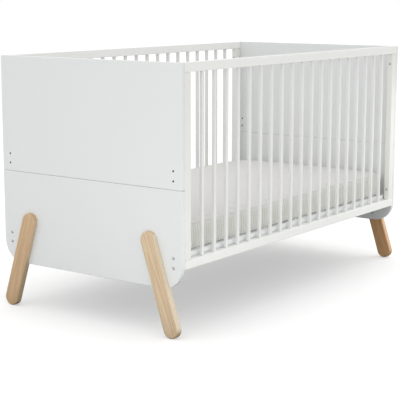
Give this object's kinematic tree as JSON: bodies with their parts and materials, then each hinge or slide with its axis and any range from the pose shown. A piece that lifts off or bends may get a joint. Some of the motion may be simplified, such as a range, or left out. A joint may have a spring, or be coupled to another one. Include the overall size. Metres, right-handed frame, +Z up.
{
  "type": "baby crib",
  "caption": "Cot bed with solid two-part end boards, slatted sides, splayed timber legs, a bolted slatted base and a lift-out mattress.",
  "frame": {"origin": "on the floor, under the middle of the bed", "axes": "+X along the length towards the foot end, +Y across the width from the front side to the back side, +Z up"},
  "size_m": [1.474, 0.776, 0.87],
  "materials": {
    "board_paint": "satin",
    "frame_paint": "satin",
    "base_paint": "satin",
    "leg_timber": "satin",
    "mattress_cover": "matte",
    "steel": "satin"
  },
  "bodies": {
    "crib": {"head_upper_board": "board_paint", "head_lower_board": "board_paint", "foot_upper_board": "board_paint", "foot_lower_board": "board_paint", "head_front_leg": "leg_timber", "head_back_leg": "leg_timber", "foot_front_leg": "leg_timber", "foot_back_leg": "leg_timber", "front_top_rail": "frame_paint", "front_bottom_rail": "frame_paint", "front_head_stile": "frame_paint", "front_foot_stile": "frame_paint", "back_top_rail": "frame_paint", "back_bottom_rail": "frame_paint", "back_head_stile": "frame_paint", "back_foot_stile": "frame_paint", "front_slat_1": "frame_paint", "front_slat_2": "frame_paint", "front_slat_3": "frame_paint", "front_slat_4": "frame_paint", "front_slat_5": "frame_paint", "front_slat_6": "frame_paint", "front_slat_7": "frame_paint", "front_slat_8": "frame_paint", "front_slat_9": "frame_paint", "front_slat_10": "frame_paint", "front_slat_11": "frame_paint", "front_slat_12": "frame_paint", "front_slat_13": "frame_paint", "front_slat_14": "frame_paint", "front_slat_15": "frame_paint", "front_slat_16": "frame_paint", "front_slat_17": "frame_paint", "front_slat_18": "frame_paint", "front_slat_19": "frame_paint", "back_slat_1": "frame_paint", "back_slat_2": "frame_paint", "back_slat_3": "frame_paint", "back_slat_4": "frame_paint", "back_slat_5": "frame_paint", "back_slat_6": "frame_paint", "back_slat_7": "frame_paint", "back_slat_8": "frame_paint", "back_slat_9": "frame_paint", "back_slat_10": "frame_paint", "back_slat_11": "frame_paint", "back_slat_12": "frame_paint", "back_slat_13": "frame_paint", "back_slat_14": "frame_paint", "back_slat_15": "frame_paint", "back_slat_16": "frame_paint", "back_slat_17": "frame_paint", "back_slat_18": "frame_paint", "back_slat_19": "frame_paint", "base_rails": "base_paint", "base_slats": "base_paint", "base_bolts": "steel", "frame_bolts": "steel", "leg_bolts": "steel"},
    "mattress": {"mattress": "mattress_cover"}
  },
  "joints": [
    {"name": "mattress_lift", "type": "slide", "parent": "crib", "child": "mattress", "axis": [0, 0, 1], "range_m": [0, 0.62]}
  ]
}
